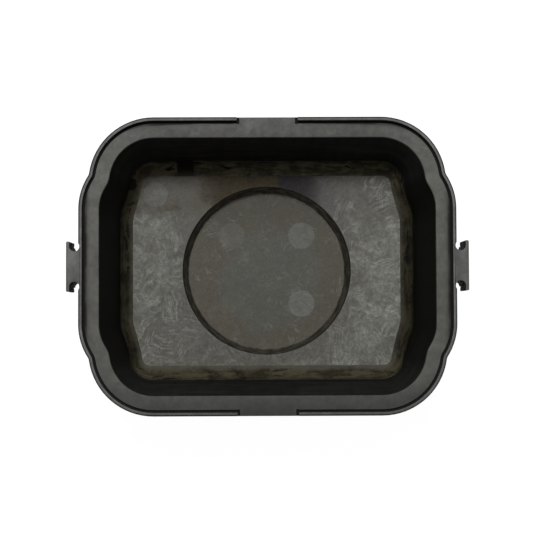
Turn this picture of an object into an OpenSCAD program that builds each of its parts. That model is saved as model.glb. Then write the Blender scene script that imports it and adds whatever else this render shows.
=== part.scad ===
// Mortar mixing tub: a deep rectangular basin with rounded corners, bulged ends, a round sump
// in its floor, a wide flat rim with an upstanding bead, and a T-shaped lug on each end.
// The tub is one plastic moulding. Each node below is one region of it, and neighbouring
// regions meet face to face. X is the length, Y is the width, and Z = 0 is the ground.

/* [Rim] */
// Length over the rim's outer edge, lugs left out
rim_length = 637.6; // [625:0.2:660]
// Width over the rim's outer edge
rim_width = 504; // [495:1:530]
// Radius of the four main corners, on the outer edge
corner_r = 110; // [105:1:115]
// How far the middle of each end stands out beyond its corners
bulge_step = 17; // [15:1:18]
// Radius where the bulged end turns back towards a corner, on the outer edge
bulge_r = 104; // [100:1:108]
// Length of the straight stretch in the middle of each end
bulge_straight = 194; // [190:1:198]
// Radius of the hollow between the bulge and a corner, on the outer edge
hollow_r = 12; // [8:1:16]
// Width of the flat flange, from the outer edge to the basin
flange_w = 34.6; // [33:0.2:36]
// Thickness of the flange
flange_t = 4; // [3.5:0.5:4.5]
// Width of the bead along the outer edge
bead_w = 7; // [5:0.5:8]
// Height of the bead above the flange
bead_h = 8; // [6:0.5:10]
// Gap in the bead at the middle of each long side
bead_gap = 103; // [80:1:110]
// Depth of the skirt below the flange
skirt_h = 45; // [40:1:50]
// Thickness of the skirt
skirt_t = 4; // [3.5:0.5:4.5]

/* [Basin] */
// Depth from the top of the bead to the flat floor
basin_depth = 207; // [195:1:215]
// Thickness of the walls and the floor
wall_t = 4; // [3.5:0.5:4.5]
// How far each wall leans in between the flange and the cove
wall_lean = 20; // [18:1:22]
// Corner radius at the foot of the wall
foot_corner_r = 42; // [38:1:46]
// Length of the straight stretch in the middle of each end, at the foot of the wall
foot_straight = 180; // [176:1:184]
// Radius of the hollow between the bulge and a corner, at the foot of the wall
foot_hollow_r = 150; // [120:5:200]
// Height of the cove between the wall and the floor
cove_h = 25; // [22:1:30]
// Length of the flat floor
floor_length = 486; // [480:1:490]
// Width of the flat floor
floor_width = 344.6; // [340:0.2:348]
// Corner radius of the flat floor
floor_corner_r = 15; // [13:1:18]
// Length of the straight stretch in the middle of each end of the flat floor
floor_straight = 170; // [166:1:174]
// Radius where each end of the flat floor turns back towards a corner
floor_bulge_r = 60; // [55:1:65]
// Radius of the nearly straight side between that bend and a floor corner
floor_hollow_r = 500; // [400:10:700]
// Angle that the cove's curve turns through before it meets the floor
cove_turn = 60; // [50:5:75]

/* [Sump] */
// Diameter of the sump at the floor
sump_top_d = 305.4; // [300:0.2:310]
// Diameter of the sump at its bottom
sump_bottom_d = 288.2; // [284:0.2:292]
// Depth of the sump below the floor
sump_depth = 40; // [30:1:45]

/* [Lugs] */
// How far a lug stands out beyond the rim
lug_reach = 19.9; // [19.5:0.1:20.5]
// Length of a lug along the end of the tub
lug_length = 84.4; // [80:0.2:90]
// Height of a lug
lug_height = 70; // [64:1:75]
// Thickness of the lug's outer plate
lug_plate_t = 5.2; // [5:0.1:5.4]
// Diameter of the round part of a keyhole
keyhole_d = 17.2; // [17:0.1:17.4]
// Distance from the keyhole's axis to the rim's outer edge
keyhole_out = 6.3; // [6.2:0.1:6.4]
// Distance from the keyhole's axis to the end of the lug
keyhole_in = 8.3; // [7:0.1:9]

/* [Ribs] */
// Thickness of the gussets and runners
rib_t = 3; // [2.5:0.5:4]
// Spacing of the gussets under the long sides of the rim
long_gusset_pitch = 75; // [60:1:80]
// Spacing of the gussets under the ends of the rim
end_gusset_pitch = 54; // [50:1:56]
// Spacing of the runners under the floor
runner_pitch = 60; // [50:1:60]

/* [Hidden] */

$fn = 96;

// Heights, from the ground up
sump_floor_z = wall_t;
floor_z = sump_floor_z + sump_depth;
cove_top_z = floor_z + cove_h;
rim_top_z = floor_z + basin_depth;
flange_z = rim_top_z - bead_h;
flange_under_z = flange_z - flange_t;
skirt_z = flange_under_z - skirt_h;
lug_z = rim_top_z - lug_height;

// Segments along the bulge's arc, the hollow's arc and the corner's arc, in one quarter
bulge_steps = 6;
hollow_steps = 5;
corner_steps = 10;
// Bands of facets down the cove
cove_bands = 5;

// An outline holds [half length, half width, corner radius, half straight, bulge radius, hollow radius]
rim_edge = [rim_length / 2, rim_width / 2, corner_r, bulge_straight / 2, bulge_r, hollow_r];
basin_edge = inset(rim_edge, flange_w);
wall_foot = [
    basin_edge[0] - wall_lean,
    basin_edge[1] - wall_lean,
    foot_corner_r,
    foot_straight / 2,
    basin_edge[4],
    foot_hollow_r,
];
floor_edge = [
    floor_length / 2,
    floor_width / 2,
    floor_corner_r,
    floor_straight / 2,
    floor_bulge_r,
    floor_hollow_r,
];

keyhole_r = keyhole_d / 2;
keyhole_x = rim_length / 2 + keyhole_out;
keyhole_y = lug_length / 2 - keyhole_in;
lug_x = rim_length / 2 + lug_reach;
lug_plate_x = lug_x - lug_plate_t;

// Radius of the lower corners of a lug's plate
lug_corner_r = 12;
// How far the hollows in a lug's neck reach along the lug
lug_pocket_y = keyhole_y - keyhole_r - wall_t;
// How far the deeper stretch of skirt runs past the end of a lug
apron_margin = 10;
apron_half = lug_length / 2 + apron_margin;
// Where a gusset meets the skirt, above the skirt's lower edge, and how much lower it runs on the wall
gusset_rise = 6;
gusset_drop = 12;
// Where a runner ends, short of the floor's edge, and how far its end slopes
runner_margin = 11;
runner_toe = 17;
runner_end_x = floor_length / 2 - runner_margin;
// Where the straight sides of the rim end and its corners begin
corner_x = rim_length / 2 - bulge_step - corner_r;
corner_y = bulge_straight / 2;

// An outline moved inwards by d, all round
function inset(o, d) = [o[0] - d, o[1] - d, o[2] - d, o[3], o[4] - d, o[5] + d];

// Points along an arc, both ends included
function arc(c, r, from, to, n) =
    [for (i = [0:n]) let (a = from + (to - from) * i / n) c + r * [cos(a), sin(a)]];

// The point at distance ra from a and rb from b, on the side away from the tub's middle
function meeting(a, ra, b, rb) =
    let (
        d = norm(b - a),
        u = (b - a) / d,
        s = (ra * ra - rb * rb + d * d) / (2 * d)
    )
    a + s * u + sqrt(ra * ra - s * s) * [-u.y, u.x];

// One quarter of an outline: the bulge's arc, the hollow's arc, then the corner's arc
function quarter(o) =
    let (
        corner = [o[0] - bulge_step - o[2], o[1] - o[2]],
        bulge = [o[0] - o[4], o[3]],
        hollow = meeting(corner, o[2] + o[5], bulge, o[4] + o[5]),
        from_bulge = hollow - bulge,
        from_corner = hollow - corner,
        a1 = atan2(from_bulge.y, from_bulge.x),
        a2 = atan2(from_corner.y, from_corner.x),
        dent = arc(hollow, o[5], a1 + 180, a2 + 180, hollow_steps)
    )
    concat(
        arc(bulge, o[4], 0, a1, bulge_steps),
        [for (i = [1:hollow_steps - 1]) dent[i]],
        arc(corner, o[2], a2, 90, corner_steps)
    );

// The whole outline, counterclockwise
function outline(o) =
    let (q = quarter(o), last = len(q) - 1)
    concat(
        q,
        [for (i = [last:-1:0]) [-q[i].x, q[i].y]],
        [for (i = [0:last]) [-q[i].x, -q[i].y]],
        [for (i = [last:-1:0]) [q[i].x, -q[i].y]]
    );

// An outline as 3-D points at height z
function level(o, z) = [for (p = outline(o)) [p.x, p.y, z]];

// Points partway from the wall's foot to the floor's edge, along the cove's curve
function cove_level(foot, foot_z, edge_z, part) =
    let (
        a = outline(foot),
        b = outline(floor_edge),
        turn = cove_turn * part,
        across = (1 - cos(turn)) / (1 - cos(cove_turn)),
        down = sin(turn) / sin(cove_turn)
    )
    [for (i = [0:len(a) - 1])
        [a[i].x + (b[i].x - a[i].x) * across, a[i].y + (b[i].y - a[i].y) * across,
         foot_z + (edge_z - foot_z) * down]];

// Half of a wall's outside measure at height z, from its values at the flange and at the foot
function wall_at(z, top, foot) = foot + (top - foot) * (z - cove_top_z) / (flange_under_z - cove_top_z);

// A closed ring-shaped solid through a loop of levels that all have the same number of points
module ring_solid(levels) {
    rows = len(levels);
    count = len(levels[0]);
    points = [for (row = levels) each row];
    faces = [
        for (r = [0:rows - 1], i = [0:count - 1])
            let (
                j = (i + 1) % count,
                s = (r + 1) % rows,
                p = r * count + i,
                q = r * count + j,
                u = s * count + i,
                v = s * count + j
            )
            each [[p, q, v], [p, v, u]]
    ];
    polyhedron(points, faces);
}

// A flat band between two outlines
module band(outer, inner, z, h) {
    translate([0, 0, z])
        linear_extrude(h)
            difference() {
                polygon(outline(outer));
                polygon(outline(inner));
            }
}

// The round parts of all four keyholes
module keyholes() {
    for (side = [-1, 1], end = [-1, 1])
        translate([side * keyhole_x, end * keyhole_y, lug_z - 1])
            cylinder(r = keyhole_r, h = lug_height + 2);
}

module rim_flange() {
    color("#565654")
        difference() {
            band(rim_edge, basin_edge, flange_under_z, flange_t);
            keyholes();
        }
}

// The bead on one half of the rim: side is 1 for the right half and -1 for the left half
module rim_bead(side) {
    color("#646462")
        difference() {
            band(rim_edge, inset(rim_edge, bead_w), flange_z, bead_h);
            translate([-side * rim_length / 2, 0, flange_z])
                cube([rim_length + bead_gap, rim_width + 2, 3 * bead_h], center = true);
            keyholes();
        }
}

// The stretch of skirt with x from x0 to x1 and y from y0 to y1
module skirt_stretch(x0, x1, y0, y1) {
    translate([0, 0, skirt_z])
        linear_extrude(skirt_h)
            intersection() {
                difference() {
                    polygon(outline(rim_edge));
                    polygon(outline(inset(rim_edge, skirt_t)));
                }
                translate([x0, y0])
                    square([x1 - x0, y1 - y0]);
            }
}

module long_side_skirt() {
    color("#3a3a39")
        skirt_stretch(-corner_x, corner_x, corner_y, rim_width);
}

// The skirt on one end, with the deeper stretch behind the lug
module end_skirt() {
    color("#3a3a39")
        difference() {
            union() {
                skirt_stretch(corner_x, rim_length, -corner_y, corner_y);
                translate([rim_length / 2 - skirt_t, -apron_half, lug_z])
                    cube([skirt_t, 2 * apron_half, flange_under_z - lug_z]);
            }
            keyholes();
        }
}

module skirt_corner() {
    color("#3a3a39")
        skirt_stretch(corner_x, rim_length, corner_y, rim_width);
}

module basin_wall() {
    color("#1c1c1c")
        ring_solid([
            level(inset(basin_edge, -wall_t), flange_under_z),
            level(basin_edge, flange_under_z),
            level(wall_foot, cove_top_z),
            level(inset(wall_foot, -wall_t), cove_top_z),
        ]);
}

module bottom_cove() {
    color("#2b2822")
        ring_solid(concat(
            [for (i = [0:cove_bands]) cove_level(wall_foot, cove_top_z, floor_z, i / cove_bands)],
            [for (i = [cove_bands:-1:0])
                cove_level(inset(wall_foot, -wall_t), cove_top_z, floor_z - wall_t, i / cove_bands)]
        ));
}

// The sump's outside, run on past the floor plate
module sump_outside(above) {
    slope = (sump_top_d - sump_bottom_d) / 2 / sump_depth;
    bottom_r = sump_bottom_d / 2 + wall_t;
    rotate_extrude()
        polygon([
            [0, sump_floor_z - wall_t],
            [bottom_r, sump_floor_z - wall_t],
            [bottom_r, sump_floor_z],
            [bottom_r + slope * (sump_depth + above), floor_z + above],
            [0, floor_z + above],
        ]);
}

module floor_plate() {
    color("#6a6a65")
        difference() {
            translate([0, 0, floor_z - wall_t])
                linear_extrude(wall_t)
                    polygon(outline(floor_edge));
            sump_outside(5);
        }
}

module sump_wall() {
    color("#1f1e1c")
        rotate_extrude()
            polygon([
                [sump_bottom_d / 2, sump_floor_z],
                [sump_bottom_d / 2 + wall_t, sump_floor_z],
                [sump_top_d / 2 + wall_t, floor_z],
                [sump_top_d / 2, floor_z],
            ]);
}

module sump_floor() {
    color("#52504c")
        cylinder(r = sump_bottom_d / 2 + wall_t, h = wall_t);
}

// The lug on the right: an outer plate on a hollow neck, with a keyhole open to each end
module lug() {
    color("#5a5a58")
        difference() {
            union() {
                lug_plate();
                translate([rim_length / 2, -keyhole_y, lug_z])
                    cube([lug_plate_x - rim_length / 2, 2 * keyhole_y, lug_height]);
            }
            keyholes();
            for (side = [-1, 1])
                lug_pocket(side);
        }
}

// The lug's outer plate, with its two lower corners rounded
module lug_plate() {
    half = lug_length / 2;
    low = lug_z + lug_corner_r;
    translate([lug_plate_x, 0, 0])
        rotate([90, 0, 90])
            linear_extrude(lug_plate_t)
                polygon(concat(
                    arc([half - lug_corner_r, low], lug_corner_r, -90, 0, 12),
                    [[half, rim_top_z], [-half, rim_top_z]],
                    arc([lug_corner_r - half, low], lug_corner_r, 180, 270, 12)
                ));
}

// One of the two hollows in a lug's neck, open below
module lug_pocket(side) {
    pocket_x = lug_plate_x - rim_length / 2 - wall_t;
    pocket_y = lug_pocket_y - rib_t / 2;
    translate([rim_length / 2, side * (rib_t + pocket_y) / 2, (lug_z + rim_top_z) / 2 - wall_t])
        cube([2 * pocket_x, pocket_y, lug_height], center = true);
}

// A gusset's outline between the skirt and the wall: x is the distance from the tub's middle
function gusset_shape(half, top, foot, low) = [
    [half - skirt_t, flange_under_z],
    [wall_at(flange_under_z, top, foot), flange_under_z],
    [wall_at(low - gusset_drop, top, foot), low - gusset_drop],
    [half - skirt_t, low],
];

module long_side_gussets() {
    shape = gusset_shape(
        rim_width / 2, basin_edge[1] + wall_t, wall_foot[1] + wall_t, skirt_z + gusset_rise
    );
    color("#2e2e2d")
        for (i = [-2:2])
            translate([i * long_gusset_pitch - rib_t / 2, 0, 0])
                rotate([90, 0, 90])
                    linear_extrude(rib_t)
                        polygon(shape);
}

module end_gussets() {
    shape = gusset_shape(
        rim_length / 2, basin_edge[0] + wall_t, wall_foot[0] + wall_t, skirt_z + gusset_rise
    );
    color("#2e2e2d")
        for (i = [-1.5:1:1.5])
            translate([0, i * end_gusset_pitch + rib_t / 2, 0])
                rotate([90, 0, 0])
                    linear_extrude(rib_t)
                        polygon(shape);
}

// Thin ribs from the sump to the cove that stand on the ground beside the sump
module floor_runners() {
    under_z = floor_z - wall_t;
    color("#2e2e2d")
        difference() {
            for (i = [-2:2])
                translate([0, i * runner_pitch + rib_t / 2, 0])
                    rotate([90, 0, 0])
                        linear_extrude(rib_t)
                            polygon([
                                [0, 0],
                                [runner_end_x - runner_toe, 0],
                                [runner_end_x, under_z],
                                [0, under_z],
                            ]);
            sump_outside(5);
        }
}

rim_flange();
rim_bead(-1);  // left_rim_bead
rim_bead(1);  // right_rim_bead
mirror([0, 1, 0]) long_side_skirt();  // front_rim_skirt
long_side_skirt();  // back_rim_skirt
mirror([1, 0, 0]) end_skirt();  // left_rim_skirt
end_skirt();  // right_rim_skirt
rotate(180) skirt_corner();  // front_left_skirt_corner
mirror([0, 1, 0]) skirt_corner();  // front_right_skirt_corner
mirror([1, 0, 0]) skirt_corner();  // back_left_skirt_corner
skirt_corner();  // back_right_skirt_corner
basin_wall();
bottom_cove();
floor_plate();
sump_wall();
sump_floor();
mirror([1, 0, 0]) lug();  // left_lug
lug();  // right_lug
mirror([0, 1, 0]) long_side_gussets();  // front_rim_gussets
long_side_gussets();  // back_rim_gussets
mirror([1, 0, 0]) end_gussets();  // left_rim_gussets
end_gussets();  // right_rim_gussets
mirror([1, 0, 0]) floor_runners();  // left_floor_runners
floor_runners();  // right_floor_runners
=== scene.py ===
"""Mortar mixing tub: its looks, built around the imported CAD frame. Lengths are in metres."""
import math
from collections import namedtuple

import bmesh
import bpy
from mathutils import Matrix, Vector


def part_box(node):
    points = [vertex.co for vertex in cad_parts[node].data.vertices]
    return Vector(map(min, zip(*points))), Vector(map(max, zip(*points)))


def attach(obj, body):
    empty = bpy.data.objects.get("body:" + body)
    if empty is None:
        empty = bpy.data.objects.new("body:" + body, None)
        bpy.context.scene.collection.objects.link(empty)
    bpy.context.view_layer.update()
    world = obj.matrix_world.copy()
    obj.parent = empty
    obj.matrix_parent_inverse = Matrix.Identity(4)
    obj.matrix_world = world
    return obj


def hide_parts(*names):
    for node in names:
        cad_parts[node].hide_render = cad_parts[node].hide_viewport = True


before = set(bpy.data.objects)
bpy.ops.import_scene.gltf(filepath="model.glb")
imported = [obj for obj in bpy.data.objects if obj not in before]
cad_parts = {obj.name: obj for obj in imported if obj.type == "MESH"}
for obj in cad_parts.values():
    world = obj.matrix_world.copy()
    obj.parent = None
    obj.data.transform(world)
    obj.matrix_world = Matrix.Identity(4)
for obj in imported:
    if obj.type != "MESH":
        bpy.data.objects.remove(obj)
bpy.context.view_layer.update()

MM = 0.001


# ---------------------------------------------------------------- sizes, read off the frame

def top(node):
    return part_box(node)[1]


def bottom(node):
    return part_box(node)[0]


RIM_X = top("rim_flange").x
RIM_Y = top("rim_flange").y
FLANGE_Z = top("rim_flange").z
FLANGE_UNDER_Z = bottom("rim_flange").z
BEAD_TOP_Z = top("right_rim_bead").z
BEAD_GAP_X = bottom("right_rim_bead").x
SKIRT_LOW_Z = bottom("right_rim_skirt").z
SKIRT_EDGE_Z = bottom("back_rim_skirt").z
COVE_TOP_Z = bottom("basin_wall").z
FLOOR_Z = top("floor_plate").z
FLOOR_UNDER_Z = bottom("floor_plate").z
FLOOR_X = top("floor_plate").x
FLOOR_Y = top("floor_plate").y
SUMP_Z = top("sump_floor").z
SUMP_OUT_R = top("sump_floor").x
SUMP_TOP_OUT_R = top("sump_wall").x
LUG_X = top("right_lug").x
LUG_Y = top("right_lug").y
LUG_LOW_Z = bottom("right_lug").z
WALL_T = top("sump_floor").z - bottom("sump_floor").z
BASIN_TOP_X = top("basin_wall").x - WALL_T
FLANGE_W = RIM_X - BASIN_TOP_X
SUMP_R = SUMP_OUT_R - WALL_T
SUMP_TOP_R = SUMP_TOP_OUT_R - WALL_T

BEAD_W = 7 * MM
BEAD_ROUND = 3.0 * MM
LUG_BEVEL = 0.7 * MM
SKIRT_T = 4 * MM
WALL_LEAN = 20 * MM
LUG_PLATE_T = 5.2 * MM
LUG_DRAFT = 1.7 * MM
KEYHOLE_R = 8.6 * MM
GROOVE_DEPTH = 3.2 * MM
POCKET_REACH = 4.4 * MM
PIN_MARK_XS = (-121 * MM, 109 * MM)
PIN_MARK_Y = RIM_Y - 22 * MM
PIN_MARK_R = 6.5 * MM
PIN_MARK_DEPTH = 0.12 * MM
KEYHOLE_X = RIM_X + 6.3 * MM
KEYHOLE_Y = LUG_Y - 8.3 * MM
SUMP_LIP = 0.35 * MM
SUMP_TOE = 3 * MM
MARK_DEPTH = 0.3 * MM
FLOOR_MARK = (-202.5 * MM, 139.3 * MM)
FLOOR_MARK_R = 22.4 * MM
SUMP_MARK_R = 24.3 * MM
# Each mark in the sump: x, y and how plainly its cement shows.
SUMP_MARKS = (
    (-64.3 * MM, 66 * MM, 0.42), (-64.3 * MM, -59.6 * MM, 0.10),
    (64.3 * MM, 66 * MM, 0.8), (64.3 * MM, -59.6 * MM, 0.9),
)
MARK_BLUR = 0.8 * MM


# ---------------------------------------------------------------- outlines

Outline = namedtuple("Outline", "x y corner straight bulge hollow")
BULGE_STEP = 17 * MM
RIM_EDGE = Outline(RIM_X, RIM_Y, 110 * MM, 97 * MM, 104 * MM, 12 * MM)
STRAIGHT_STEPS = 10


def inset(o, d):
    return Outline(o.x - d, o.y - d, o.corner - d, o.straight, o.bulge - d, o.hollow + d)


BASIN_EDGE = inset(RIM_EDGE, FLANGE_W)
WALL_FOOT = Outline(
    BASIN_EDGE.x - WALL_LEAN, BASIN_EDGE.y - WALL_LEAN, 42 * MM, 90 * MM, BASIN_EDGE.bulge, 150 * MM
)
FLOOR_EDGE = Outline(FLOOR_X, FLOOR_Y, 15 * MM, 85 * MM, 60 * MM, 500 * MM)


def arc(centre, r, start, end, n):
    """Points along an arc, both ends included, angles in radians."""
    angles = [start + (end - start) * i / n for i in range(n + 1)]
    return [centre + r * Vector((math.cos(a), math.sin(a))) for a in angles]


def line(a, b, n):
    """Points strictly between a and b."""
    return [a.lerp(b, i / n) for i in range(1, n)]


def quarter(o, fine=1):
    """One quarter of an outline: the bulge's arc, the hollow's arc, then the corner's arc."""
    corner = Vector((o.x - BULGE_STEP - o.corner, o.y - o.corner))
    bulge = Vector((o.x - o.bulge, o.straight))
    ra = o.corner + o.hollow
    rb = o.bulge + o.hollow
    gap = bulge - corner
    along = (ra * ra - rb * rb + gap.length_squared) / (2 * gap.length)
    u = gap.normalized()
    hollow = corner + along * u + math.sqrt(ra * ra - along * along) * Vector((-u.y, u.x))
    a1 = math.atan2(hollow.y - bulge.y, hollow.x - bulge.x)
    a2 = math.atan2(hollow.y - corner.y, hollow.x - corner.x)
    dent = arc(hollow, o.hollow, a1 + math.pi, a2 + math.pi, 6 * fine)
    return (
        arc(bulge, o.bulge, 0, a1, 8 * fine)
        + dent[1:-1]
        + arc(corner, o.corner, a2, math.pi / 2, 16 * fine)
    )


def right_half(o, gap_x=0.0):
    """The right half of an outline, counterclockwise, from x = gap_x in front to x = gap_x behind."""
    q = quarter(o)
    front = [Vector((p.x, -p.y)) for p in reversed(q)]
    start = Vector((gap_x, -o.y))
    end = Vector((gap_x, o.y))
    return (
        [start] + line(start, front[0], STRAIGHT_STEPS) + front
        + line(front[-1], q[0], STRAIGHT_STEPS) + q
        + line(q[-1], end, STRAIGHT_STEPS) + [end]
    )


def whole(o):
    """The whole outline, counterclockwise, from the middle of the front."""
    right = right_half(o)
    left = [Vector((-p.x, p.y)) for p in reversed(right)]
    return right[:-1] + left[:-1]


# ---------------------------------------------------------------- mesh making

def new_object(name, mesh):
    obj = bpy.data.objects.new(name, mesh)
    bpy.context.scene.collection.objects.link(obj)
    return obj


def solid(name, bm):
    """An object that holds a finished bmesh."""
    bmesh.ops.recalc_face_normals(bm, faces=bm.faces)
    mesh = bpy.data.meshes.new(name)
    bm.to_mesh(mesh)
    bm.free()
    return new_object(name, mesh)


def prism(name, lower, upper):
    """A closed solid between two rings that have as many points as each other."""
    bm = bmesh.new()
    low = [bm.verts.new(p) for p in lower]
    high = [bm.verts.new(p) for p in upper]
    for i in range(len(low)):
        j = (i + 1) % len(low)
        bm.faces.new((low[i], low[j], high[j], high[i]))
    bm.faces.new(list(reversed(low)))
    bm.faces.new(high)
    return solid(name, bm)


def shade(obj, angle=40):
    """Smooth shading, with edges sharper than the angle left crisp."""
    mesh = obj.data
    mesh.shade_smooth()
    mesh.set_sharp_from_angle(angle=math.radians(angle))
    return obj


def from_rings(name, rings, closed_section=True, closed_path=True, caps=False):
    """A mesh over a grid of points: each ring is one line round the tub, with the same number of points."""
    bm = bmesh.new()
    grid = [[bm.verts.new(p) for p in ring] for ring in rings]
    rows = len(grid)
    count = len(grid[0])
    for r in range(rows if closed_section else rows - 1):
        s = (r + 1) % rows
        for i in range(count if closed_path else count - 1):
            j = (i + 1) % count
            bm.faces.new((grid[r][i], grid[r][j], grid[s][j], grid[s][i]))
    if caps and closed_path:
        bm.faces.new(grid[0])
        bm.faces.new(list(reversed(grid[-1])))
    elif caps:
        bm.faces.new([row[0] for row in grid])
        bm.faces.new([row[-1] for row in reversed(grid)])
    return shade(solid(name, bm))


def at_height(points, z):
    return [Vector((p.x, p.y, z)) for p in points]


def round_corner(a, b, c, r, n=4):
    """Points that round the corner b of a path a-b-c, in the plane of the three."""
    to_a = (a - b).normalized()
    to_c = (c - b).normalized()
    half = to_a.angle(to_c) / 2
    reach = r / math.tan(half)
    start = b + to_a * reach
    end = b + to_c * reach
    centre = b + (to_a + to_c).normalized() * (r / math.sin(half))
    points = []
    for i in range(n + 1):
        p = start.lerp(end, i / n) - centre
        points.append(centre + p.normalized() * r)
    return points


def rounded(points, radii, n=4):
    """A closed 2-D section with its corners rounded."""
    out = []
    last = len(points)
    for i, r in enumerate(radii):
        if r > 0:
            out += round_corner(points[i - 1], points[i], points[(i + 1) % last], r, n)
        else:
            out.append(points[i])
    return out


def section(*pairs):
    """A section as 2-D points, from pairs: millimetres in from the rim's edge, metres of height."""
    return [Vector((d * MM, z)) for d, z in pairs]


def apply_modifiers(obj):
    depsgraph = bpy.context.evaluated_depsgraph_get()
    mesh = bpy.data.meshes.new_from_object(obj.evaluated_get(depsgraph))
    obj.modifiers.clear()
    obj.data = mesh
    return obj


def cylinder_tool(x, y, r, low, high, n=72, draft=0.0):
    """A cutter for boolean work. With a draft its lower end is smaller and leans towards the middle."""
    lean = math.copysign(draft, x)
    upper_ring = arc(Vector((x, y)), r, 0, 2 * math.pi, n)[:-1]
    lower_ring = arc(Vector((x - lean, y)), r - draft / 2, 0, 2 * math.pi, n)[:-1]
    return prism("tool", at_height(lower_ring, low), at_height(upper_ring, high))


def box_tool(low, high):
    bm = bmesh.new()
    bmesh.ops.create_cube(bm, size=1)
    size = high - low
    bm.transform(Matrix.Translation((low + high) / 2) @ Matrix.Diagonal((*size, 1)))
    return solid("tool", bm)


def cut(obj, tools):
    for tool in tools:
        modifier = obj.modifiers.new("cut", "BOOLEAN")
        modifier.operation = "DIFFERENCE"
        modifier.solver = "EXACT"
        modifier.object = tool
    apply_modifiers(obj)
    for tool in tools:
        bpy.data.objects.remove(tool)
    return obj


def bevel(obj, width, segments=3):
    modifier = obj.modifiers.new("bevel", "BEVEL")
    modifier.width = width
    modifier.segments = segments
    modifier.limit_method = "ANGLE"
    modifier.angle_limit = math.radians(40)
    modifier.use_clamp_overlap = True
    return apply_modifiers(obj)


def keyhole_tools(sides=(-1, 1)):
    low = LUG_LOW_Z - 5 * MM
    high = BEAD_TOP_Z + 5 * MM
    return [
        cylinder_tool(side * KEYHOLE_X, end * KEYHOLE_Y, KEYHOLE_R, low, high, draft=LUG_DRAFT)
        for side in sides for end in (-1, 1)
    ]


# ---------------------------------------------------------------- pieces

def rim_sweep(name, profile, path_of=whole, **kw):
    rings = [at_height(path_of(inset(RIM_EDGE, p.x)), p.y) for p in profile]
    return from_rings(name, rings, **kw)


def groove_tool(side):
    """The narrow groove just inside one bead, cut from one bead end to the other."""
    z = FLANGE_Z
    deep = z - GROOVE_DEPTH
    start = BEAD_W / MM
    profile = section((start, z + MM), (start + 0.2, deep), (start + 3.0, deep), (start + 3.8, z + MM))

    def path(o):
        return [Vector((side * p.x, p.y)) for p in right_half(o, BEAD_GAP_X - MM)]

    return rim_sweep("tool", profile, path, closed_path=False, caps=True)


def pocket_tools():
    """The dark little pocket that wraps round each bead's end."""
    tools = []
    for side in (-1, 1):
        for end in (-1, 1):
            xs = sorted((side * (BEAD_GAP_X - POCKET_REACH), side * (BEAD_GAP_X + 0.5 * MM)))
            ys = sorted((end * (RIM_Y - 1.2 * MM), end * (RIM_Y - BEAD_W - 4.2 * MM)))
            low = Vector((xs[0], ys[0], FLANGE_Z - GROOVE_DEPTH))
            high = Vector((xs[1], ys[1], FLANGE_Z + MM))
            tools.append(box_tool(low, high))
    return tools


def pin_tools():
    return [cylinder_tool(x, PIN_MARK_Y, PIN_MARK_R, FLANGE_Z - PIN_MARK_DEPTH, FLANGE_Z + MM)
            for x in PIN_MARK_XS]


def make_flange():
    z = FLANGE_Z
    low = FLANGE_UNDER_Z
    inner = FLANGE_W / MM
    profile = rounded(
        section((0, low), (0, z), (inner, z), (inner, low)),
        [0, 1.0 * MM, 1.6 * MM, 0],
    )
    piece = rim_sweep("rim_flange_moulding", profile)
    tools = keyhole_tools() + [groove_tool(-1), groove_tool(1)] + pocket_tools() + pin_tools()
    return shade(cut(piece, tools))


def make_bead(side, name):
    z = FLANGE_Z
    high = BEAD_TOP_Z
    width = BEAD_W / MM
    profile = rounded(
        section((0, z), (0.3, high), (width - 0.5, high), (width, z)),
        [0, BEAD_ROUND, 0.9 * MM, 0],
    )

    def path(o):
        points = right_half(o, BEAD_GAP_X)
        return [Vector((side * p.x, p.y)) for p in points]

    piece = rim_sweep(name, profile, path, closed_path=False, caps=True)
    cut(piece, keyhole_tools((side,)))
    return shade(bevel(piece, 0.8 * MM))


def apron_drop(y):
    """How much deeper the skirt is at this y, behind a lug."""
    edge = LUG_Y + 10 * MM
    ramp = 12 * MM
    t = min(max((edge + ramp - abs(y)) / ramp, 0), 1)
    return t * t * (3 - 2 * t)


def make_skirt():
    z = FLANGE_UNDER_Z
    t = SKIRT_T / MM
    profile = rounded(
        section((0, z), (0.8, SKIRT_LOW_Z), (t + 0.8, SKIRT_LOW_Z), (t, z)),
        [0, 1.2 * MM, 1.2 * MM, 0],
    )
    rings = []
    for p in profile:
        ring = []
        for q in whole(inset(RIM_EDGE, p.x)):
            deep = apron_drop(q.y) if abs(q.x) > RIM_X - 30 * MM else 0
            share = (z - p.y) / (z - SKIRT_LOW_Z)
            low = SKIRT_EDGE_Z + (SKIRT_LOW_Z - SKIRT_EDGE_Z) * deep
            ring.append(Vector((q.x, q.y, z - share * (z - low))))
        rings.append(ring)
    piece = from_rings("rim_skirt_moulding", rings)
    return cut(piece, keyhole_tools())


def between(a, b, t):
    return [p.lerp(q, t) for p, q in zip(a, b)]


def wall_side(top_edge, foot, steps):
    a = at_height(whole(top_edge), FLANGE_UNDER_Z)
    b = at_height(whole(foot), COVE_TOP_Z)
    return [between(a, b, i / steps) for i in range(steps + 1)]


def make_basin_wall():
    inner = wall_side(BASIN_EDGE, WALL_FOOT, 12)
    outer = wall_side(inset(BASIN_EDGE, -WALL_T), inset(WALL_FOOT, -WALL_T), 12)
    return from_rings("basin_wall_moulding", inner + outer[::-1])


def cove_side(foot, edge_z, steps):
    turn_all = math.radians(60)
    a = whole(foot)
    b = whole(FLOOR_EDGE)
    rings = []
    for i in range(steps + 1):
        turn = turn_all * i / steps
        across = (1 - math.cos(turn)) / (1 - math.cos(turn_all))
        down = math.sin(turn) / math.sin(turn_all)
        rings.append(at_height(between(a, b, across), COVE_TOP_Z + (edge_z - COVE_TOP_Z) * down))
    return rings


def make_cove():
    inner = cove_side(WALL_FOOT, FLOOR_Z, 12)
    outer = cove_side(inset(WALL_FOOT, -WALL_T), FLOOR_UNDER_Z, 12)
    return from_rings("bottom_cove_moulding", inner + outer[::-1])


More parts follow.
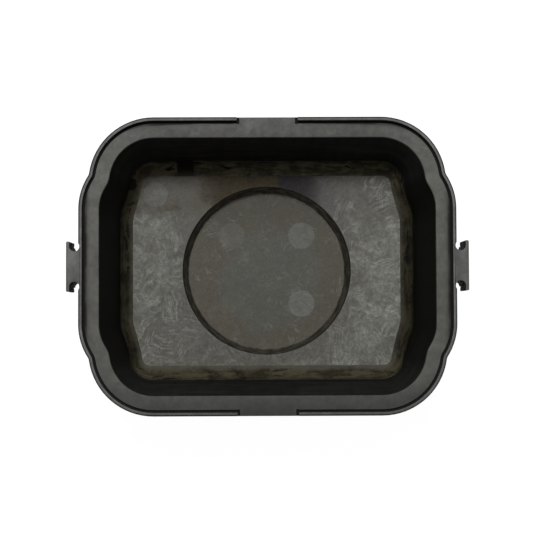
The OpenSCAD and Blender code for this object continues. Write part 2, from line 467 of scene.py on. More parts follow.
def mark_tool(x, y, r, z):
    """The shallow round witness that one of the mould's lifters leaves in a flat face at height z."""
    return cylinder_tool(x, y, r, z - MARK_DEPTH, z + MM)


def floor_rings(z, r, steps):
    edge = whole(FLOOR_EDGE)
    hole = [r * p.normalized() for p in edge]
    return [at_height(between(edge, hole, i / steps), z) for i in range(steps + 1)]


def make_floor():
    r = SUMP_TOP_R + SUMP_LIP
    upper = floor_rings(FLOOR_Z, r, 10)
    lower = floor_rings(FLOOR_UNDER_Z, SUMP_TOP_OUT_R, 4)
    piece = from_rings("floor_plate_moulding", upper + lower[::-1])
    return cut(piece, [mark_tool(*FLOOR_MARK, FLOOR_MARK_R, FLOOR_Z)])


def turned(name, profile, n=192, **kw):
    """A solid of revolution about Z from (radius, height) pairs."""
    rings = [at_height(arc(Vector((0, 0)), p.x, 0, 2 * math.pi, n)[:-1], p.y) for p in profile]
    return from_rings(name, rings, **kw)


def make_sump_wall():
    lip = Vector((SUMP_TOP_R + SUMP_LIP, FLOOR_Z))
    top_in = Vector((SUMP_TOP_R, FLOOR_Z))
    foot_in = Vector((SUMP_R, SUMP_Z))
    toe = Vector((SUMP_R - SUMP_TOE, SUMP_Z))
    profile = (
        round_corner(lip, top_in, foot_in, 0.4 * MM, 4)
        + round_corner(top_in, foot_in, toe, 1.6 * MM, 6)
        + [Vector((SUMP_OUT_R, SUMP_Z)), Vector((SUMP_TOP_OUT_R, FLOOR_Z - MM))]
    )
    return turned("sump_wall_moulding", profile)


def make_sump_floor():
    radii = [SUMP_R * (1 - i / 12) for i in range(12)] + [2 * MM]
    profile = [Vector((r, SUMP_Z)) for r in reversed(radii)]
    profile += [Vector((SUMP_OUT_R, SUMP_Z)), Vector((SUMP_OUT_R, 1.5 * MM))]
    profile += [Vector((SUMP_OUT_R - 1.5 * MM, 0)), Vector((2 * MM, 0))]
    piece = turned("sump_floor_moulding", profile, closed_section=False, caps=True)
    return cut(piece, [mark_tool(x, y, SUMP_MARK_R, SUMP_Z) for x, y, _ in SUMP_MARKS])


def make_lug(side, name):
    """A T-shaped lug: an outer plate on a hollow neck, with a keyhole open to each end."""
    inner_x = RIM_X - 0.3 * MM - BEAD_ROUND - LUG_BEVEL
    plate_x = LUG_X - LUG_PLATE_T
    outline = [
        Vector((inner_x, -KEYHOLE_Y)), Vector((plate_x, -KEYHOLE_Y)), Vector((plate_x, -LUG_Y)),
        Vector((LUG_X, -LUG_Y)), Vector((LUG_X, LUG_Y)), Vector((plate_x, LUG_Y)),
        Vector((plate_x, KEYHOLE_Y)), Vector((inner_x, KEYHOLE_Y)),
    ]
    outline = rounded(outline, [0, 0, 0.8 * MM, 2.2 * MM, 2.2 * MM, 0.8 * MM, 0, 0], 5)
    lower = []
    for p in outline:
        behind_plate = abs(p.y) > KEYHOLE_Y + 0.1 * MM and p.x < plate_x + MM
        draft = LUG_DRAFT if behind_plate else 0
        lower.append((side * (p.x - draft), p.y, LUG_LOW_Z))
    upper = [(side * p.x, p.y, BEAD_TOP_Z) for p in outline]
    piece = prism(name, lower, upper)
    cut(piece, keyhole_tools((side,)) + lug_pocket_tools(side))
    return shade(bevel(piece, LUG_BEVEL), 35)


def lug_pocket_tools(side):
    """The two hollows under a lug's neck, and the rounding of the plate's lower corners."""
    out = LUG_X - LUG_PLATE_T - 4 * MM
    reach = KEYHOLE_Y - KEYHOLE_R - 4 * MM
    tools = []
    for end in (-1, 1):
        xs = sorted((side * (RIM_X - 2 * MM), side * out))
        ys = sorted((end * 1.5 * MM, end * reach))
        low = Vector((xs[0], ys[0], LUG_LOW_Z - MM))
        high = Vector((xs[1], ys[1], BEAD_TOP_Z - 4 * MM))
        tools.append(box_tool(low, high))
        tools.append(corner_tool(side, end))
    return tools


def corner_tool(side, end):
    """What is cut off one lower corner of a lug's plate to round it."""
    r = 12 * MM
    centre = Vector((LUG_Y - r, LUG_LOW_Z + r))
    shape = arc(centre, r, -math.pi / 2, 0, 12)
    shape += [Vector((LUG_Y + r, LUG_LOW_Z + r)), Vector((LUG_Y + r, LUG_LOW_Z - r)),
              Vector((LUG_Y - r, LUG_LOW_Z - r))]
    xs = (side * (RIM_X + 8 * MM), side * (LUG_X + 5 * MM))
    inner, outer = [[(x, end * p.x, p.y) for p in shape] for x in xs]
    return prism("tool", inner, outer)


# ---------------------------------------------------------------- materials

# Cement haze on the floor, its scribbles, and the stains on it.
HAZE_THIN = (0.052, 0.0495, 0.0395)
HAZE_THICK = (0.118, 0.1195, 0.105)
STROKE_PALE = (0.178, 0.180, 0.162)
STROKE_DARK = (0.050, 0.048, 0.039)
FLOOR_BROWN = (0.052, 0.0470, 0.033)
BAND_BROWN = (0.0330, 0.0250, 0.0135)
WIPED_GREY = (0.0175, 0.0150, 0.0165)
FLOOR_MARK_PALE = (0.078, 0.078, 0.068)
# The sump's floor and side.
SUMP_BROWN = (0.0480, 0.0420, 0.0285)
SUMP_GREY = (0.0495, 0.0505, 0.0410)
SCRATCH_PALE = (0.100, 0.102, 0.090)
SMUDGE_PALE = (0.078, 0.080, 0.069)
SUMP_MARK_PALE = (0.080, 0.082, 0.072)
SIDE_DARK = (0.022, 0.0195, 0.014)
SIDE_PALE = (0.060, 0.055, 0.044)
SIDE_LINE = (0.012, 0.0108, 0.008)
# The brown film on the cove and the walls above it.
FILM_THIN = (0.0145, 0.0122, 0.0075)
FILM_THICK = (0.0375, 0.0328, 0.0205)
FILM_LOST = (0.0045, 0.0042, 0.0036)
FILM_SPILT = (0.066, 0.062, 0.050)
WALL_CLEAN = (0.0022, 0.0022, 0.0024)
WALL_DUSTY = (0.0056, 0.0055, 0.0056)
WALL_SMEAR = (0.016, 0.0148, 0.011)
# The rim, the bead, the lugs and the outside.
RIM_GREY = (0.0270, 0.0267, 0.0228)
BEAD_GREY = (0.046, 0.0455, 0.044)
LUG_GREY = (0.0355, 0.0355, 0.0325)
# A brown stain beside the bead, with painted shade in it.
RIM_STAIN_AND_SHADE = (0.0050, 0.0036, 0.0010)
# Painted shade with some grime, for whatever lies below the rim's top face. The deepest is painted shade
# alone.
CRUST_AND_SHADE_DARK = (0.0025, 0.0023, 0.0019)
CRUST_AND_SHADE_PALE = (0.0115, 0.0105, 0.0072)
DEEP_PAINTED_SHADE = (0.0012, 0.0011, 0.0010)
OUTER_CLEAN = (0.011, 0.011, 0.0108)
OUTER_DUSTY = (0.030, 0.029, 0.0265)
OUTER_SCUFF = (0.055, 0.054, 0.051)
BELOW_CLEAN = (0.0095, 0.0095, 0.0094)
BELOW_DUSTY = (0.022, 0.0215, 0.020)

# How square the rim is, for a measure of how near its edge a point lies.
RIM_POWER = 5.7
# Chips in the film on the cove: x, y and radius of each.
CHIPS = (
    (-246 * MM, 158 * MM, 12 * MM), (252 * MM, 21 * MM, 5 * MM), (-251 * MM, 6 * MM, 3 * MM),
)
# The stretch of the back cove, along x, that has lost its film.
BARE_FROM = -164 * MM
BARE_TO = -130 * MM


def plain(name, colour, rough, specular=0.5):
    """A material with one colour, for a Graph to build on."""
    mat = bpy.data.materials.new(name)
    mat.use_nodes = True
    shader = mat.node_tree.nodes["Principled BSDF"]
    shader.inputs["Base Color"].default_value = (*colour, 1)
    shader.inputs["Roughness"].default_value = rough
    shader.inputs["Specular IOR Level"].default_value = specular
    return mat


class Graph:
    """Builds one material's nodes. Each method returns the output socket of what it adds."""

    def __init__(self, name, rough, specular):
        self.mat = plain(name, (0, 0, 0), rough, specular)
        self.shader = self.mat.node_tree.nodes["Principled BSDF"]
        self.place = self.add("ShaderNodeTexCoord").outputs["Object"]
        split = self.add("ShaderNodeSeparateXYZ")
        self.feed(split.inputs[0], self.place)
        self.x, self.y, self.z = split.outputs
        facing = self.add("ShaderNodeSeparateXYZ")
        self.feed(facing.inputs[0], self.add("ShaderNodeTexCoord").outputs["Normal"])
        self.facing_up = facing.outputs[2]

    def add(self, kind, **settings):
        node = self.mat.node_tree.nodes.new(kind)
        for key, value in settings.items():
            setattr(node, key, value)
        return node

    def feed(self, socket, value):
        if isinstance(value, bpy.types.NodeSocket):
            self.mat.node_tree.links.new(value, socket)
        else:
            socket.default_value = value

    def math(self, operation, a, b=0.0, clamp=False):
        node = self.add("ShaderNodeMath", operation=operation, use_clamp=clamp)
        self.feed(node.inputs[0], a)
        self.feed(node.inputs[1], b)
        return node.outputs[0]

    def plus(self, a, b, clamp=False):
        return self.math("ADD", a, b, clamp)

    def minus(self, a, b):
        return self.math("SUBTRACT", a, b)

    def times(self, a, b):
        return self.math("MULTIPLY", a, b)

    def most(self, a, b):
        return self.math("MAXIMUM", a, b)

    def size_of(self, a):
        return self.math("ABSOLUTE", a)

    def vector(self, operation, a, b=(0, 0, 0)):
        node = self.add("ShaderNodeVectorMath", operation=operation)
        self.feed(node.inputs[0], a)
        self.feed(node.inputs[1], b)
        return node.outputs["Value"] if operation in ("LENGTH", "DISTANCE") else node.outputs[0]

    def moved(self, x, y, z):
        """Places shifted so that two noises of the same scale don't look alike."""
        return self.vector("ADD", self.place, (x, y, z))

    def joined(self, x, y, z):
        node = self.add("ShaderNodeCombineXYZ")
        for socket, value in zip(node.inputs, (x, y, z)):
            self.feed(socket, value)
        return node.outputs[0]

    def noise(self, scale, detail=3.0, rough=0.5, distort=0.0, at=None):
        """Noise from 0 to 1, mostly near 0.5. scale is in features per metre, or (x, y, z) of them."""
        place = self.place if at is None else at
        if isinstance(scale, tuple):
            place = self.vector("MULTIPLY", place, scale)
            scale = 1.0
        node = self.add("ShaderNodeTexNoise")
        self.feed(node.inputs["Vector"], place)
        node.inputs["Scale"].default_value = scale
        node.inputs["Detail"].default_value = detail
        node.inputs["Roughness"].default_value = rough
        node.inputs["Distortion"].default_value = distort
        return node.outputs["Fac"]

    def step(self, value, low, high):
        """0 below low, 1 above high, and smooth between. low may be above high."""
        node = self.add("ShaderNodeMapRange", interpolation_type="SMOOTHSTEP")
        flipped = low > high
        self.feed(node.inputs["Value"], value)
        node.inputs["From Min"].default_value = high if flipped else low
        node.inputs["From Max"].default_value = low if flipped else high
        node.inputs["To Min"].default_value = 1.0 if flipped else 0.0
        node.inputs["To Max"].default_value = 0.0 if flipped else 1.0
        return node.outputs["Result"]

    def between(self, share, low, high):
        """A number that goes from low to high as share goes from 0 to 1."""
        return self.plus(self.times(share, high - low), low)

    def mix(self, share, a, b):
        node = self.add("ShaderNodeMix", data_type="RGBA")
        self.feed(node.inputs["Factor"], share)
        self.feed(node.inputs[6], (*a, 1) if isinstance(a, tuple) else a)
        self.feed(node.inputs[7], (*b, 1) if isinstance(b, tuple) else b)
        return node.outputs[2]

    def scaled(self, colour, factor):
        """A colour made brighter or darker by a factor."""
        return self.vector("MULTIPLY", colour, self.joined(factor, factor, factor))

    def strokes(self, cell, length, width, seed):
        """Scribbled strokes from 0 to 1: every cell of the floor has its own direction of rubbing."""
        place = self.vector("ADD", self.place, (seed, -seed, 0))
        # Places pushed about a little, which makes the cells ragged.
        warp = self.add("ShaderNodeTexNoise")
        self.feed(warp.inputs["Vector"], place)
        warp.inputs["Scale"].default_value = 30
        shift = self.vector("SUBTRACT", warp.outputs["Color"], (0.5, 0.5, 0.5))
        spot = self.vector("ADD", place, self.vector("MULTIPLY", shift, (22 * MM, 22 * MM, 0)))
        cells = self.add("ShaderNodeTexVoronoi", voronoi_dimensions="2D")
        self.feed(cells.inputs["Vector"], spot)
        cells.inputs["Scale"].default_value = 1 / cell
        # A cell's colour is random. It turns the strokes and picks its own slice of the noise.
        chance = self.add("ShaderNodeSeparateXYZ")
        self.feed(chance.inputs[0], cells.outputs["Color"])
        turn = self.add("ShaderNodeVectorRotate", rotation_type="Z_AXIS")
        self.feed(turn.inputs["Vector"], self.vector("MULTIPLY", spot, (1, 1, 0)))
        self.feed(turn.inputs["Angle"], self.times(chance.outputs[0], math.pi))
        along = self.vector("MULTIPLY", turn.outputs[0], (1 / length, 1 / width, 0))
        along = self.vector("ADD", along, self.vector("MULTIPLY", cells.outputs["Color"], (0, 0, 40)))
        lines = self.noise(1.0, 2.0, 0.6, 0.3, at=along)
        # The strokes fade out towards the cell's border.
        inside = self.step(cells.outputs["Distance"], 0.78, 0.34)
        return self.times(lines, inside)

    def away(self, x, y, wobble=None):
        """Distance from a point, seen from above, with an optional wobble added."""
        gap = self.vector("SUBTRACT", self.vector("MULTIPLY", self.place, (1, 1, 0)), (x, y, 0))
        reach = self.vector("LENGTH", gap)
        return reach if wobble is None else self.plus(reach, wobble)

    def wobble(self, scale, size):
        """Noise from about -size to size."""
        return self.times(self.minus(self.noise(scale, 3.0, 0.6), 0.5), 3 * size)

    def plain_below(self, colour):
        """Faces that point down carry no cement, only plain plastic with a little dust."""
        dust = self.step(self.noise((14.0, 14.0, 40.0), 4.0, 0.6), 0.42, 0.72)
        clean = self.mix(dust, BELOW_CLEAN, BELOW_DUSTY)
        return self.mix(self.step(self.facing_up, 0.02, -0.02), colour, clean)

    def finish(self, colour, rough=None, bump=None, height=0.2 * MM):
        self.feed(self.shader.inputs["Base Color"], colour)
        if rough is not None:
            self.feed(self.shader.inputs["Roughness"], rough)
        if bump is not None:
            node = self.add("ShaderNodeBump")
            self.feed(node.inputs["Height"], bump)
            node.inputs["Strength"].default_value = 1.0
            node.inputs["Distance"].default_value = height
            self.feed(self.shader.inputs["Normal"], node.outputs["Normal"])
        return self.mat


def floor_material():
    """Black plastic scoured grey: scribbled cement haze, with a brown band and a wiped patch behind."""
    g = Graph("floor_haze", 0.62, 0.25)
    # How thick the haze is: most at the two ends, least next to the sump and behind it.
    clouds = g.noise(15.0, 6.0, 0.66, 0.3)
    patches = g.noise(44.0, 4.0, 0.65, 0.8)
    ends = g.step(g.size_of(g.x), 70 * MM, 190 * MM)
    clear = g.step(g.away(0, 0, g.wobble(25.0, 5 * MM)), 152 * MM, 190 * MM)
    haze = g.plus(g.times(ends, 0.22), g.times(clouds, 1.25))
    haze = g.plus(haze, g.times(clear, 0.22))
    haze = g.plus(haze, g.times(g.minus(patches, 0.5), 0.8))
    haze = g.minus(haze, g.times(g.step(g.y, 70 * MM, 150 * MM), 0.24))
    haze = g.step(haze, 0.76, 1.32)
    brown = g.step(g.plus(g.times(g.step(g.y, 60 * MM, 130 * MM), 0.66),
                          g.noise(15.0, 4.0, 0.6, at=g.moved(7, 3, 0))), 0.70, 1.06)
    brown = g.times(brown, g.step(g.x, 110 * MM, 20 * MM))
    colour = g.mix(haze, HAZE_THIN, HAZE_THICK)
    # Scribbles, strongest where the floor was worked most.
    fine = g.strokes(34 * MM, 24 * MM, 3.6 * MM, 3.1)
    long = g.strokes(60 * MM, 60 * MM, 4.3 * MM, 7.7)
    light = g.plus(g.times(g.step(fine, 0.50, 0.62), 0.7),
                   g.times(g.step(long, 0.50, 0.61), 0.8), clamp=True)
    dark = g.times(g.step(fine, 0.42, 0.28), g.step(fine, 0.04, 0.16))
    worked = g.noise(19.0, 3.0, 0.5, at=g.moved(5, 2, 0))
    worked = g.plus(worked, g.times(g.step(g.y, -20 * MM, -120 * MM), 0.09))
    worked = g.step(worked, 0.28, 0.62)
    worked = g.times(worked, g.between(ends, 0.35, 1.0))
    light = g.times(g.times(light, worked), g.between(brown, 1.0, 0.50))
    colour = g.mix(g.times(light, 0.62), colour, STROKE_PALE)
    colour = g.mix(g.times(g.times(dark, worked), 0.30), colour, STROKE_DARK)
    colour = g.mix(brown, colour, FLOOR_BROWN)
    # The brown band behind the sump, the round mark in the corner and the wiped patch.
    across = g.plus(g.x, g.wobble(36.0, 9 * MM))
    behind = g.times(g.step(across, -215 * MM, -66 * MM), g.step(across, 95 * MM, 25 * MM))
    behind = g.times(behind, g.step(g.y, 82 * MM, 132 * MM))
    colour = g.mix(behind, colour, BAND_BROWN)
    mark = g.step(g.away(*FLOOR_MARK, g.wobble(55.0, 0.9 * MM)), FLOOR_MARK_R + MM, FLOOR_MARK_R - MM)
    colour = g.mix(g.times(mark, 0.8), colour, FLOOR_MARK_PALE)
    wiped = g.times(g.step(g.x, 17 * MM, 24 * MM), g.step(across, 165 * MM, 54 * MM))
    wiped = g.times(wiped, g.step(g.y, 66 * MM, 120 * MM))
    colour = g.mix(wiped, colour, WIPED_GREY)
    # Darker towards the back, then painted light along the back edge that offsets the back wall's shadow,
    # and a little paler to the right.
    colour = g.scaled(colour, g.between(g.step(g.y, 60 * MM, 140 * MM), 1.0, 0.82))
    colour = g.scaled(colour, g.between(g.step(g.y, 150 * MM, 172 * MM), 1.0, 1.60))
    colour = g.scaled(colour, g.between(g.step(g.x, -200 * MM, 200 * MM), 0.93, 1.05))
    blotches = g.noise(95.0, 5.0, 0.7, 0.9, at=g.moved(2, 6, 0))
    colour = g.scaled(colour, g.between(g.step(blotches, 0.25, 0.75), 0.66, 1.34))
    colour = g.plain_below(colour)
    grain = g.noise(270.0, 4.0, 0.8)
    colour = g.scaled(colour, g.between(grain, 0.40, 1.56))
    bump = g.plus(g.times(grain, 0.5), g.times(light, 0.5))
    dull = g.times(g.most(behind, wiped), 0.85)
    rough = g.most(g.between(haze, 0.54, 0.72), dull)
    return g.finish(colour, rough, bump, 0.22 * MM)


def sump_material():
    """A flatter film of cement: grey in the middle, browner towards the sump's side."""
    g = Graph("sump_haze", 0.62, 0.25)
    edge = g.away(8 * MM, -12 * MM, g.plus(g.wobble(12.0, 30 * MM), g.wobble(40.0, 10 * MM)))
    middle = g.times(g.step(edge, 110 * MM, 70 * MM), 0.85)
    clouds = g.noise(33.0, 5.0, 0.62, 0.6)
    strokes = g.step(g.strokes(30 * MM, 14 * MM, 3 * MM, 12.4), 0.50, 0.66)
    strokes = g.times(strokes, g.step(g.noise(21.0, 2.0), 0.42, 0.60))
    colour = g.mix(middle, SUMP_BROWN, SUMP_GREY)
    colour = g.mix(g.times(strokes, 0.55), colour, SCRATCH_PALE)
    smudges = g.step(g.noise(42.0, 5.0, 0.68, 1.3, at=g.moved(4, 4, 0)), 0.53, 0.70)
    colour = g.mix(g.times(smudges, 0.40), colour, SMUDGE_PALE)
    colour = g.scaled(colour, 0.96)
    for x, y, share in SUMP_MARKS:
        reach = g.away(x, y, g.wobble(60.0, MARK_BLUR))
        mark = g.step(reach, SUMP_MARK_R + MARK_BLUR, SUMP_MARK_R - MARK_BLUR)
        mark = g.times(mark, g.between(g.step(clouds, 0.3, 0.6), 0.7 * share, share))
        colour = g.mix(mark, colour, SUMP_MARK_PALE)
    grain = g.noise(330.0, 4.0, 0.75)
    blotches = g.noise(110.0, 5.0, 0.7, 0.9)
    colour = g.scaled(colour, g.between(g.step(blotches, 0.25, 0.75), 0.86, 1.14))
    colour = g.scaled(colour, g.between(grain, 0.35, 1.60))
    colour = g.scaled(colour, g.between(clouds, 0.50, 1.50))
    # Painted shade: darker towards the back of the sump.
    colour = g.scaled(colour, g.between(g.step(g.y, 50 * MM, 130 * MM), 1.0, 0.70))
    colour = g.plain_below(colour)
    return g.finish(colour, g.between(clouds, 0.5, 0.7), grain, 0.12 * MM)


def basin_material():
    """The walls and the cove: dark plastic above, and an uneven brown cement film below."""
    g = Graph("basin_film", 0.6, 0.05)
    height = g.minus(g.z, FLOOR_Z)
    front = g.step(g.y, -130 * MM, -190 * MM)
    back = g.step(g.y, 140 * MM, 175 * MM)
    # The film's ragged upper edge, a little lower in the back left corner.
    ragged = g.plus(g.wobble(13.0, 7 * MM), g.wobble(60.0, 2.2 * MM))
    ragged = g.plus(ragged, 25 * MM)
    bare_spot = g.away(-243 * MM, 178 * MM, g.wobble(40.0, 8 * MM))
    ragged = g.minus(ragged, g.times(g.step(bare_spot, 60 * MM, 25 * MM), 6 * MM))
    film = g.step(g.minus(ragged, height), -0.7 * MM, 0.7 * MM)
    bands = g.noise((19.0, 19.0, 170.0), 4.0, 0.70, 0.8)
    patches = g.noise(31.0, 4.0, 0.6, 0.5)
    thick = g.step(g.plus(bands, g.times(g.minus(patches, 0.5), 1.1)), 0.34, 0.66)
    brown = g.mix(thick, FILM_THIN, FILM_THICK)
    # Painted light: the film is paler at the front and much paler at the back.
    brown = g.scaled(brown, g.plus(g.between(front, 0.67, 1.24), g.times(back, 1.8)))
    # Where the film has cracked, flaked or chipped off.
    cracks = g.noise((24.0, 24.0, 150.0), 4.0, 0.55, 1.4, at=g.moved(3, 1, 0))
    cracks = g.step(g.size_of(g.minus(cracks, 0.5)), 0.020, 0.008)
    flaked = g.step(g.noise((26.0, 26.0, 90.0), 3.0, 0.6, 0.6, at=g.moved(1, 9, 4)), 0.60, 0.66)
    somewhere = g.step(g.noise(14.0, 2.0, 0.5, at=g.moved(8, 8, 0)), 0.46, 0.56)
    lost = g.most(g.times(cracks, somewhere), flaked)
    for x, y, r in CHIPS:
        chip = g.step(g.away(x, y, g.wobble(70.0, 0.4 * r)), 1.15 * r, 0.85 * r)
        lost = g.most(lost, chip)
    patch = g.times(g.step(g.x, BARE_FROM, BARE_FROM + 3 * MM), g.step(g.x, BARE_TO, BARE_TO - 4 * MM))
    lost = g.most(lost, g.times(patch, g.step(g.y, 150 * MM, 165 * MM)))
    brown = g.mix(g.times(lost, 0.92), brown, FILM_LOST)
    # The bare wall above the film, with dust and low smears.
    smears = g.noise((9.0, 9.0, 44.0), 4.0, 0.6, 0.8)
    drips = g.noise((60.0, 60.0, 4.0), 3.0, 0.6)
    dusty = g.step(g.plus(g.times(drips, 0.35), g.times(smears, 0.65)), 0.40, 0.66)
    bare = g.mix(dusty, WALL_CLEAN, WALL_DUSTY)
    # Painted light, with more dust at the front: the bare wall is paler at the front and much paler at the
    # back.
    bare = g.scaled(bare, g.plus(g.between(front, 0.42, 3.0), g.times(back, 4.6)))
    low_smear = g.times(g.step(height, 75 * MM, 30 * MM), g.step(smears, 0.5, 0.62))
    bare = g.mix(g.times(low_smear, g.between(front, 0.25, 0.7)), bare, WALL_SMEAR)
    colour = g.mix(film, bare, brown)
    spill = g.step(g.plus(height, g.wobble(34.0, 2.2 * MM)), 5 * MM, 0.5 * MM)
    colour = g.mix(g.times(spill, g.between(front, 0.30, 0.75)), colour, FILM_SPILT)
    colour = g.plain_below(colour)
    film = g.times(film, g.step(g.facing_up, -0.02, 0.02))
    grain = g.noise(300.0, 4.0, 0.75)
    colour = g.scaled(colour, g.between(grain, 0.7, 1.3))
    bump = g.plus(g.times(grain, 0.3), g.times(film, 0.7))
    return g.finish(colour, g.between(film, 0.55, 0.78), bump, 0.3 * MM)


def sump_wall_material():
    """The sump's side: a brown film with darker streaks and a dark line under the rim."""
    g = Graph("sump_side_film", 0.65, 0.12)
    streaks = g.noise((48.0, 48.0, 60.0), 4.0, 0.6)
    colour = g.mix(g.step(streaks, 0.36, 0.66), SIDE_DARK, SIDE_PALE)
    line = g.step(g.plus(g.z, g.wobble(40.0, 1.6 * MM)), FLOOR_Z - 8 * MM, FLOOR_Z - 4 * MM)
    colour = g.mix(g.times(line, 0.75), colour, SIDE_LINE)
    # Painted light: the back of the sump's side paler.
    colour = g.scaled(colour, g.between(g.step(g.y, 30 * MM, 140 * MM), 1.0, 2.0))
    colour = g.plain_below(colour)
    grain = g.noise(320.0, 4.0, 0.75)
    return g.finish(g.scaled(colour, g.between(grain, 0.75, 1.25)), None, grain, 0.2 * MM)


def rim_material(name, colour, high, stain_and_shade=0.0, specular=0.3, rough=0.55):
    """Textured black plastic greyed by dust on top. Painted shade, with some grime, blackens whatever lies
    below the top face.
    """
    g = Graph(name, rough, specular)
    clouds = g.noise(24.0, 4.0, 0.6)
    rubbed = g.noise(85.0, 4.0, 0.65, 0.4)
    grain = g.noise(480.0, 4.0, 0.75)
    darker = tuple(0.78 * c for c in colour)
    lighter = tuple(1.22 * c for c in colour)
    mixed = g.mix(g.step(clouds, 0.30, 0.72), darker, lighter)
    mixed = g.scaled(mixed, g.between(rubbed, 0.50, 1.50))
    mixed = g.scaled(mixed, g.between(g.step(g.size_of(g.x), 160 * MM, 280 * MM), 0.90, 1.45))
    if stain_and_shade:
        # out goes from 0.4 to 0.5 at the basin's edge up to about 1 at the rim's outer edge.
        out_x = g.math("POWER", g.times(g.size_of(g.x), 1 / RIM_X), RIM_POWER)
        out_y = g.math("POWER", g.times(g.size_of(g.y), 1 / RIM_Y), RIM_POWER)
        out = g.plus(out_x, out_y)
        # Beside the bead: a brown stain together with painted shade, fading away from the bead.
        beside = g.times(g.step(out, 0.67, 0.82), g.step(g.y, -210 * MM, -120 * MM))
        beside = g.times(beside, g.step(g.size_of(g.x), 48 * MM, 60 * MM))
        beside = g.times(beside, g.between(g.step(g.noise(13.0, 3.0, 0.6), 0.36, 0.60), 0.7, 1.0))
        mixed = g.mix(g.times(beside, stain_and_shade), mixed, RIM_STAIN_AND_SHADE)
        # Painted shade: the front of the rim darker.
        mixed = g.scaled(mixed, g.between(g.step(g.y, -170 * MM, -220 * MM), 1.0, 0.62))
        for x in PIN_MARK_XS:
            ring = g.size_of(g.minus(g.away(x, PIN_MARK_Y), PIN_MARK_R))
            mixed = g.scaled(mixed, g.between(g.step(ring, 1.8 * MM, 0.5 * MM), 1.0, 1.35))
    mixed = g.scaled(mixed, g.between(grain, 0.66, 1.34))
    # Painted shade, with some grime, in whatever lies below the top face: the groove, the pockets and the
    # edges' rounding.
    grime_and_painted_shade = g.step(g.z, high - 0.03 * MM, high - 0.40 * MM)
    if stain_and_shade:
        grime_and_painted_shade = g.times(grime_and_painted_shade, g.step(out, 0.54, 0.60))
    crust_and_painted_shade = g.mix(g.step(g.noise(260.0, 3.0, 0.6), 0.45, 0.62), CRUST_AND_SHADE_DARK, CRUST_AND_SHADE_PALE)
    crust_and_painted_shade = g.mix(g.step(g.z, high - 1.0 * MM, high - 2.4 * MM), crust_and_painted_shade, DEEP_PAINTED_SHADE)
    mixed = g.mix(grime_and_painted_shade, mixed, crust_and_painted_shade)
    wear = g.between(rubbed, rough + 0.10, rough - 0.10)
    if stain_and_shade:
        grime_and_painted_shade = g.most(grime_and_painted_shade, beside)
    wear = g.most(wear, g.times(grime_and_painted_shade, 0.96))
    return g.finish(mixed, wear, grain, 0.16 * MM)


def outer_material():
    """The outside: black moulded plastic with a fine texture, faint dust and a few scuffs."""
    g = Graph("outer_plastic", 0.5, 0.4)
    dust = g.noise((14.0, 14.0, 9.0), 4.0, 0.6)
    scuffs = g.step(g.noise((40.0, 40.0, 260.0), 3.0, 0.6), 0.64, 0.74)
    grain = g.noise(700.0, 3.0, 0.7)
    colour = g.mix(g.step(dust, 0.42, 0.78), OUTER_CLEAN, OUTER_DUSTY)
    colour = g.mix(g.times(scuffs, 0.4), colour, OUTER_SCUFF)
    colour = g.scaled(colour, g.between(grain, 0.8, 1.2))
    return g.finish(colour, g.between(dust, 0.42, 0.62), grain, 0.18 * MM)


OUTER = outer_material()
FLANGE = rim_material("rim_plastic", RIM_GREY, FLANGE_Z, 0.95)
BEAD = rim_material("bead_plastic", BEAD_GREY, BEAD_TOP_Z)
LUG = rim_material("lug_plastic", LUG_GREY, BEAD_TOP_Z)
BASIN = basin_material()
HAZE = floor_material()
SUMP = sump_material()
SUMP_SIDE = sump_wall_material()


# ---------------------------------------------------------------- assembly

def place(piece, nodes, slot, material):
    piece.data.materials.clear()
    piece.data.materials.append(material)
    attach(piece, "root")
    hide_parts(*nodes.split())
    return piece


place(make_flange(), "rim_flange", "rim_plastic", FLANGE)
place(make_bead(-1, "left_rim_bead_moulding"), "left_rim_bead", "bead_plastic", BEAD)
place(make_bead(1, "right_rim_bead_moulding"), "right_rim_bead", "bead_plastic", BEAD)
place(
    make_skirt(),
    "front_rim_skirt back_rim_skirt left_rim_skirt right_rim_skirt front_left_skirt_corner "
    "front_right_skirt_corner back_left_skirt_corner back_right_skirt_corner",
    "outer_plastic", OUTER,
)
place(make_basin_wall(), "basin_wall", "wall_plastic", BASIN)
place(make_cove(), "bottom_cove", "cove_film", BASIN)
place(make_floor(), "floor_plate", "floor_haze", HAZE)
place(make_sump_wall(), "sump_wall", "wall_plastic", SUMP_SIDE)
place(make_sump_floor(), "sump_floor", "sump_haze", SUMP)
place(make_lug(-1, "left_lug_moulding"), "left_lug", "lug_plastic", LUG)
place(make_lug(1, "right_lug_moulding"), "right_lug", "lug_plastic", LUG)
for node in ("front_rim_gussets", "back_rim_gussets", "left_rim_gussets", "right_rim_gussets",
             "left_floor_runners", "right_floor_runners"):
    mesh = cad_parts[node].data
    mesh.materials.clear()
    mesh.materials.append(OUTER)


# ---------------------------------------------------------------- floor, light and camera

STAGE_HALF = 6.0
STAGE_GAP = 0.3 * MM
PAPER_GREY = 0.12
PAPER_GLOW = 0.97
WORLD_GLOW = 0.11
KEY_AT = (-0.18, 1.0, 3.0)
KEY_SIZE = (1.1, 0.42)
KEY_WATTS = 98
TOP_AT = (0, 0, 3.4)
TOP_SIZE = (2.6, 2.6)
TOP_WATTS = 18
LIGHT_TARGET = (0, 0, 0.1)
CAMERA_LENS = 100.95
CAMERA_AT = (-0.0229, -0.1020, BEAD_TOP_Z + 2.5093)
# Degrees about each axis. All are small, since the camera looks almost straight down.
CAMERA_TILTS = (("Z", 0.224), ("X", -2.3045), ("Y", 0.476))


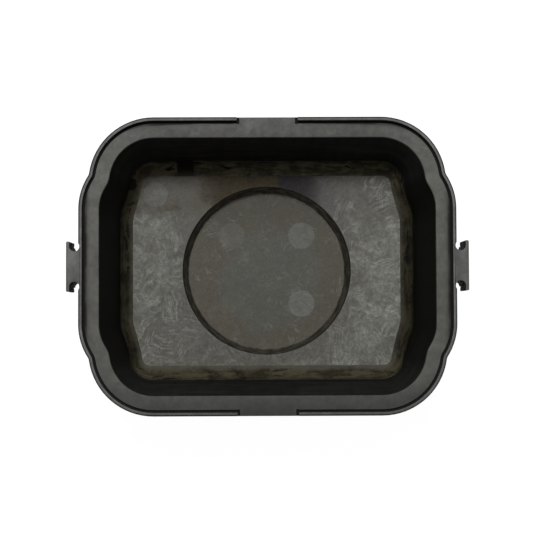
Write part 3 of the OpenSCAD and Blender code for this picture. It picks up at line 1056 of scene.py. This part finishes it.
def make_stage():
    """A pale floor that glows a little, so that it stays even and throws light under the rim."""
    bm = bmesh.new()
    bmesh.ops.create_grid(bm, x_segments=2, y_segments=2, size=STAGE_HALF)
    floor = solid("studio_floor", bm)
    floor.location.z = -STAGE_GAP
    paper = plain("studio_paper", (PAPER_GREY,) * 3, 0.9, 0.0)
    shader = paper.node_tree.nodes["Principled BSDF"]
    shader.inputs["Emission Color"].default_value = (1, 1, 1, 1)
    shader.inputs["Emission Strength"].default_value = PAPER_GLOW
    floor.data.materials.append(paper)


def add_light(name, place_at, size, watts):
    """A soft rectangular light that points at the tub."""
    data = bpy.data.lights.new(name, "AREA")
    data.shape = "RECTANGLE"
    data.size = size[0]
    data.size_y = size[1]
    data.energy = watts
    light = bpy.data.objects.new(name, data)
    bpy.context.scene.collection.objects.link(light)
    light.location = place_at
    light.rotation_mode = "QUATERNION"
    light.rotation_quaternion = (Vector(LIGHT_TARGET) - Vector(place_at)).to_track_quat("-Z", "Y")


def make_lights():
    add_light("key_softbox", KEY_AT, KEY_SIZE, KEY_WATTS)
    add_light("top_softbox", TOP_AT, TOP_SIZE, TOP_WATTS)
    world = bpy.data.worlds.new("studio")
    bpy.context.scene.world = world
    world.use_nodes = True
    world.node_tree.nodes["Background"].inputs["Color"].default_value = (1, 1, 1, 1)
    world.node_tree.nodes["Background"].inputs["Strength"].default_value = WORLD_GLOW


def make_camera():
    """Almost straight above the tub, a little to the front left of its middle."""
    data = bpy.data.cameras.new("camera")
    data.lens = CAMERA_LENS
    data.sensor_width = 36
    camera = bpy.data.objects.new("camera", data)
    bpy.context.scene.collection.objects.link(camera)
    turn = Matrix.Identity(3)
    for axis, degrees in CAMERA_TILTS:
        turn = turn @ Matrix.Rotation(math.radians(degrees), 3, axis)
    camera.location = CAMERA_AT
    camera.rotation_mode = "QUATERNION"
    camera.rotation_quaternion = turn.transposed().to_quaternion()
    bpy.context.scene.camera = camera


make_camera()
make_stage()
make_lights()
bpy.context.scene.view_settings.view_transform = "Standard"
